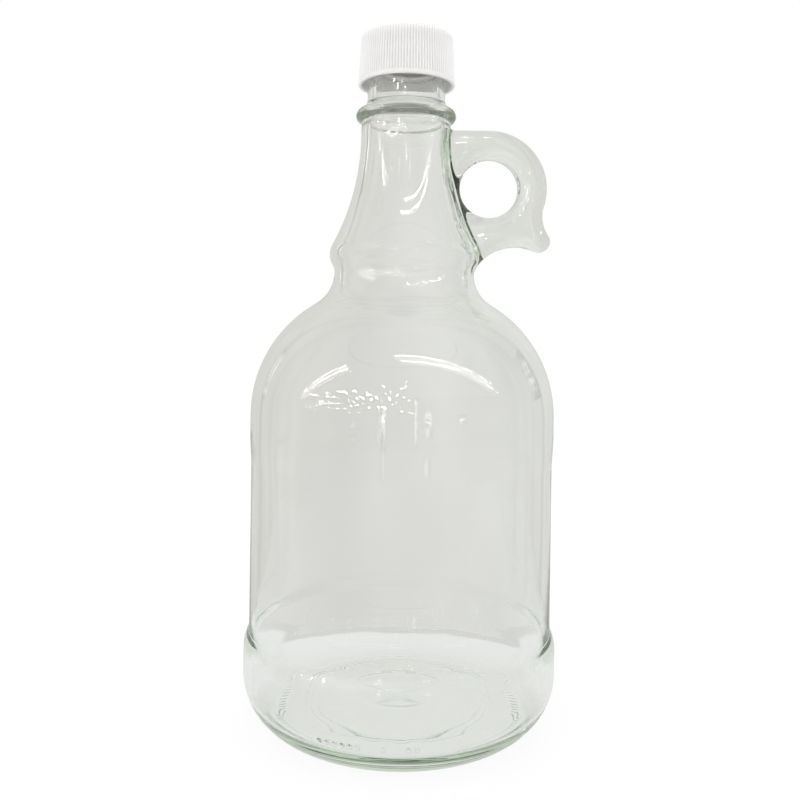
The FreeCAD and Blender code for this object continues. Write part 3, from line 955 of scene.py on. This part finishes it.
def plastic_material(s):
    """Slightly translucent, mottled white, with painted shade at the bottom of the grooves."""
    material = bpy.data.materials.new("moulded_white_plastic")
    tree = fresh_nodes(material)
    place = coordinates(tree)["Object"]
    parts = axes(tree, place)
    cloud = cloudy(tree, place, 90.0, 3.0)
    tint = blend(tree, cloud, s.shade, s.white)
    turn = calculate(tree, "ARCTAN2", parts["Y"], parts["X"])
    wave = calculate(tree, "COSINE", product(tree, turn, s.ribs))
    # Painted shade: the colour darkens towards the bottom of each groove on the ribbed band,
    # standing in for the shade there
    band_top = CAP_LOW.z + RIM_BAND
    painted_groove_shade = product(
        tree, ramp(tree, wave, 0.0, 1.0),
        ramp(tree, parts["Z"], band_top - CAP_EDGE_ARC / 4, band_top + CAP_EDGE_ARC / 4),
        ramp(tree, parts["Z"], CAP_HIGH.z, CAP_HIGH.z - CAP_EDGE_ARC))
    colour_with_painted_shade = blend(tree, painted_groove_shade, tint, s.groove)
    gloss = stretch(tree, cloud, 0.0, 1.0, 0.34, 0.46)
    grain = cloudy(tree, place, 2600.0, 2.0)
    bump = add(tree, "ShaderNodeBump", Height=grain, Strength=0.1, Distance=0.01 * MM)
    surface = add(tree, "ShaderNodeBsdfPrincipled", Base_Color=colour_with_painted_shade, Roughness=gloss,
                  Subsurface_Weight=0.8, Subsurface_Radius=(1.0, 1.0, 1.0),
                  Subsurface_Scale=3.5 * MM, Normal=bump.outputs[0])
    add(tree, "ShaderNodeOutputMaterial", Surface=surface.outputs[0])
    return material


# ---------------- the studio

CAMERA_PLACE = (-0.0011, -0.296, 0.1307)
CAMERA_ROLL = math.radians(0.79)
CAMERA_LENS = 38.2
CAMERA_SHIFT = -0.0824
GLASS_BOUNCES = 32

# Table: its half width in the view, and the part of it that shows in the glass
FLOOR_HALF = 2.5
TABLE_BACK = 0.092
TABLE_EDGE = 0.006
TABLE_FRONT = -0.60
TABLE_HALF = 0.45
TABLE_WAVER = 0.03          # how far the edges wander
FLOOR_GLOW = 1.03
FLOOR_MATT = 0.12           # share of plain matt white, which takes the shadow

# Room: how it blends from side to side, and how uneven it is
ROOM_MIDDLE = 0.35
ROOM_PATTERN = (1.0, 1.0, 0.35)
ROOM_UNEVEN = (0.3, 0.7, 0.94, 1.06)
ROOM_RISE = (-0.3, 0.9, 0.96, 1.1)
# Dark gaps in the room, as angles away from straight behind the jug
DARK_BANDS = ((math.radians(46), math.radians(50)), (math.radians(63), math.radians(67)))
BAND_EDGE = math.radians(1.5)

TENT_ROOF = 0.48
LED_PITCH = 1 / 60
LED_SIZE = 0.0055
# Rows of small lamps under the roof: left end, right end, place in front, size from front to back
STRIPS = ((-1.80, -0.34, -0.283, 0.011), (-1.80, -0.34, -0.330, 0.011),
          (-0.036, 0.83, -0.280, 0.008), (-0.011, 1.32, -0.330, 0.008))
# Sparkles: seen from the shoulder, directions in degrees from the front, and heights
SPARKLE_COUNT = 80
SPARKLE_SEED = 5
SPARKLE_START = -76
SPARKLE_SPREAD = 84
SPARKLE_LOWEST = 6
SPARKLE_HIGHEST = (14, 20)  # at the start, and how much higher at the end
SPARKLE_SIZES = (0.003 / 0.4, 0.0065 / 0.4)     # for each metre away
SHOULDER_LEVEL = 0.115
# Windows: direction from the front in degrees, width, lowest and highest, strength
WINDOWS = ((-13.0, 4.0, -10.0, 14.0, 6.4), (18.5, 6.0, -7.0, 9.5, 6.0),
           (43.0, 7.0, -2.0, 5.0, 3.6), (37.0, 4.0, -17.0, -11.0, 3.6),
           (9.5, 3.5, -17.0, -10.0, 4.0),
           (122.0, 12.0, 4.0, 26.0, 1.8), (-127.0, 3.0, 2.0, 24.0, 3.6))
WINDOW_DISTANCE = 2.0
WINDOW_LEVEL = 0.11


def room_world(s):
    """White to the camera, and a pale uneven room to rays that have met the glass."""
    world = bpy.data.worlds.new("pale_room")
    bpy.context.scene.world = world
    tree = fresh_nodes(world)
    camera, through, refracted = ray_kinds(tree)
    direction = coordinates(tree)["Generated"]
    parts = axes(tree, direction)
    side = ramp(tree, parts["X"], -ROOM_MIDDLE, ROOM_MIDDLE)
    tone = blend(tree, side, s.room_left, s.room_right)
    tone = blend(tree, through, WHITE, tone)
    tone = blend(tree, camera, tone, WHITE)
    upright = add(tree, "ShaderNodeVectorMath", Vector=direction)
    upright.operation = "MULTIPLY"
    upright.inputs[1].default_value = ROOM_PATTERN
    cloud = cloudy(tree, upright.outputs[0], 8.0, 1.5)
    uneven = product(tree, stretch(tree, cloud, *ROOM_UNEVEN),
                     stretch(tree, parts["Z"], *ROOM_RISE))
    around = calculate(tree, "ARCTAN2", calculate(tree, "ABSOLUTE", parts["X"]), parts["Y"])
    for start, end in DARK_BANDS:
        begun = ramp(tree, around, start - BAND_EDGE, start)
        over = ramp(tree, around, end, end + BAND_EDGE)
        shade = product(tree, calculate(tree, "SUBTRACT", begun, over), refracted, s.dark_bands)
        uneven = product(tree, uneven, calculate(tree, "SUBTRACT", 1.0, shade))
    bright = blend(tree, through, s.daylight, uneven, "FLOAT")
    bright = blend(tree, camera, bright, 1.0, "FLOAT")
    light = add(tree, "ShaderNodeBackground", Color=tone, Strength=bright)
    add(tree, "ShaderNodeOutputWorld", Surface=light.outputs[0])


def floor_material(s):
    """White with a faint shadow to the camera. In the glass, a table with a far edge."""
    material = bpy.data.materials.new("pale_table")
    tree = fresh_nodes(material)
    through = ray_kinds(tree)[1]
    place = add(tree, "ShaderNodeNewGeometry").outputs["Position"]
    parts = axes(tree, place)
    waver = product(tree, cloudy(tree, place, 30.0, 2.0), TABLE_WAVER)
    depth = calculate(tree, "ADD", parts["Y"], waver)
    at_edge = ramp(tree, depth, TABLE_BACK - TABLE_EDGE, TABLE_BACK)
    tone = blend(tree, at_edge, s.table, s.table_edge)
    tone = blend(tree, through, WHITE, tone)
    glow = add(tree, "ShaderNodeEmission", Color=tone, Strength=FLOOR_GLOW)
    matt = add(tree, "ShaderNodeBsdfDiffuse", Color=(0.9, 0.9, 0.9))
    top = blend_shaders(tree, FLOOR_MATT, glow, matt)
    beyond = ramp(tree, depth, TABLE_BACK + TABLE_EDGE, TABLE_BACK + 2 * TABLE_EDGE)
    in_front = ramp(tree, product(tree, depth, -1.0), -TABLE_FRONT, TABLE_EDGE - TABLE_FRONT)
    aside = ramp(tree, calculate(tree, "ABSOLUTE", parts["X"]), TABLE_HALF,
                 TABLE_HALF + TABLE_EDGE)
    off = calculate(tree, "MAXIMUM", calculate(tree, "MAXIMUM", in_front, aside), beyond)
    clear = add(tree, "ShaderNodeBsdfTransparent")
    final = blend_shaders(tree, product(tree, off, through), top, clear)
    add(tree, "ShaderNodeOutputMaterial", Surface=final.outputs[0])
    return material


def level_quad(x, y, half_x, half_y, height=TENT_ROOF):
    return [(x - half_x, y - half_y, height), (x + half_x, y - half_y, height),
            (x + half_x, y + half_y, height), (x - half_x, y + half_y, height)]


def quad_object(name, quads, material):
    """Separate four-cornered cards in one mesh."""
    mesh = bpy.data.meshes.new(name)
    mesh.from_pydata([corner for quad in quads for corner in quad], [],
                     [tuple(range(4 * i, 4 * i + 4)) for i in range(len(quads))])
    mesh.materials.append(material)
    return place_object(name, mesh)


def build_floor(s):
    quad = level_quad(0, 0, FLOOR_HALF, FLOOR_HALF, height=0)
    quad_object("table", [quad], floor_material(s))


def uneven_glow(tree, strength):
    """Fades to the edges of one upright card, and is broken up by an uneven pattern."""
    spots = coordinates(tree)
    parts = axes(tree, spots["Generated"])
    across = calculate(tree, "SINE", product(tree, parts["X"], math.pi))
    along = calculate(tree, "SINE", product(tree, parts["Z"], math.pi))
    broken = ramp(tree, cloudy(tree, spots["Object"], 9.0, 2.0), 0.35, 0.65)
    return product(tree, across, calculate(tree, "SQRT", along), broken, strength)


def glowing_card(name, quads, tint, strength, soft=False):
    """Bright cards that show only in glass and gloss."""
    material = bpy.data.materials.new(name)
    tree = fresh_nodes(material)
    bright = uneven_glow(tree, strength) if soft else strength
    glow = add(tree, "ShaderNodeEmission", Color=tint, Strength=bright)
    add(tree, "ShaderNodeOutputMaterial", Surface=glow.outputs[0])
    card = quad_object(name, quads, material)
    card.visible_camera = False
    card.visible_diffuse = False
    card.visible_shadow = False


def sparkle_quads():
    """Small lamps scattered under the roof, evenly around the front left."""
    chance = np.random.default_rng(SPARKLE_SEED)
    quads = []
    for i in range(SPARKLE_COUNT):
        share = i / SPARKLE_COUNT
        turn = SPARKLE_START + SPARKLE_SPREAD * (share + chance.uniform(-1, 1) / SPARKLE_COUNT)
        turn = math.radians(turn)
        highest = SPARKLE_HIGHEST[0] + SPARKLE_HIGHEST[1] * share
        rise = math.radians(chance.uniform(SPARKLE_LOWEST, highest))
        reach = (TENT_ROOF - SHOULDER_LEVEL) / math.tan(rise)
        size = chance.uniform(*SPARKLE_SIZES) * reach
        quads.append(level_quad(reach * math.sin(turn), -reach * math.cos(turn), size, size))
    return quads


def window_quad(turn, width, low, high):
    quad = []
    for side, level in ((-1, low), (1, low), (1, high), (-1, high)):
        angle = math.radians(turn + side * width / 2)
        quad.append((WINDOW_DISTANCE * math.sin(angle), -WINDOW_DISTANCE * math.cos(angle),
                     WINDOW_LEVEL + WINDOW_DISTANCE * math.tan(math.radians(level))))
    return quad


def build_lamps(s):
    """Rows of small lamps under the roof, scattered sparkles, and windows."""
    rows = [level_quad(x, front, LED_SIZE / 2, depth / 2)
            for left, right, front, depth in STRIPS
            for x in np.arange(left, right, LED_PITCH)]
    glowing_card("lamp_rows", rows, s.lamps, s.lamp_strength)
    glowing_card("sparkles", sparkle_quads(), s.lamps, s.lamp_strength)
    for number, (*place, strength) in enumerate(WINDOWS):
        glowing_card("window_%d" % number, [window_quad(*place)], s.lamps, strength, soft=True)


def build_camera():
    camera = place_object("camera", bpy.data.cameras.new("camera"))
    camera.data.lens = CAMERA_LENS
    camera.data.shift_y = CAMERA_SHIFT
    camera.location = CAMERA_PLACE
    camera.rotation_euler = (math.pi / 2, -CAMERA_ROLL, 0)
    bpy.context.scene.camera = camera


# ---------------- operators

class JugBuildGlass(Operator):
    """Build the glass jug with its handle"""
    bl_idname = "jug.build_glass"
    bl_label = "Glass Jug"

    def execute(self, context):
        settings = context.scene.jug_glass
        piece = build_glass(settings)
        piece.data.materials.append(glass_material(settings))
        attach(piece, "root")
        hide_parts("bottle")
        return {"FINISHED"}


class JugBuildCap(Operator):
    """Build the ribbed screw cap"""
    bl_idname = "jug.build_cap"
    bl_label = "Screw Cap"

    def execute(self, context):
        settings = context.scene.jug_cap
        piece = build_cap(settings, context.scene.jug_glass)
        piece.data.materials.append(plastic_material(settings))
        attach(piece, "root")
        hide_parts("cap")
        return {"FINISHED"}


class JugBuildStudio(Operator):
    """Build the table, the room, the lamps and the camera"""
    bl_idname = "jug.build_studio"
    bl_label = "Studio"

    def execute(self, context):
        settings = context.scene.jug_studio
        context.scene.view_settings.view_transform = "Standard"
        room_world(settings)
        build_floor(settings)
        build_lamps(settings)
        build_camera()
        light_paths = context.scene.cycles
        light_paths.max_bounces = GLASS_BOUNCES
        light_paths.glossy_bounces = GLASS_BOUNCES
        light_paths.transmission_bounces = GLASS_BOUNCES
        return {"FINISHED"}


class JugPanel(Panel):
    """Lists the jug's pieces and sizes"""
    bl_idname = "VIEW3D_PT_jug"
    bl_label = "Glass Jug"
    bl_space_type = "VIEW_3D"
    bl_region_type = "UI"
    bl_category = "Jug"

    def draw(self, context):
        for part in ("glass", "cap", "studio"):
            box = self.layout.box()
            box.operator("jug.build_" + part)
            settings = getattr(context.scene, "jug_" + part)
            for name in settings.__annotations__:
                box.prop(settings, name)


GROUPS = {"jug_glass": JugGlassSettings, "jug_cap": JugCapSettings,
          "jug_studio": JugStudioSettings}
CLASSES = (*GROUPS.values(), JugBuildGlass, JugBuildCap, JugBuildStudio, JugPanel)


def register():
    for cls in CLASSES:
        bpy.utils.register_class(cls)
    for name, group in GROUPS.items():
        setattr(bpy.types.Scene, name, PointerProperty(type=group))


def unregister():
    for name in GROUPS:
        delattr(bpy.types.Scene, name)
    for cls in reversed(CLASSES):
        bpy.utils.unregister_class(cls)


def main():
    register()
    bpy.ops.jug.build_studio()
    bpy.ops.jug.build_glass()
    bpy.ops.jug.build_cap()


if __name__ == "__main__":
    main()
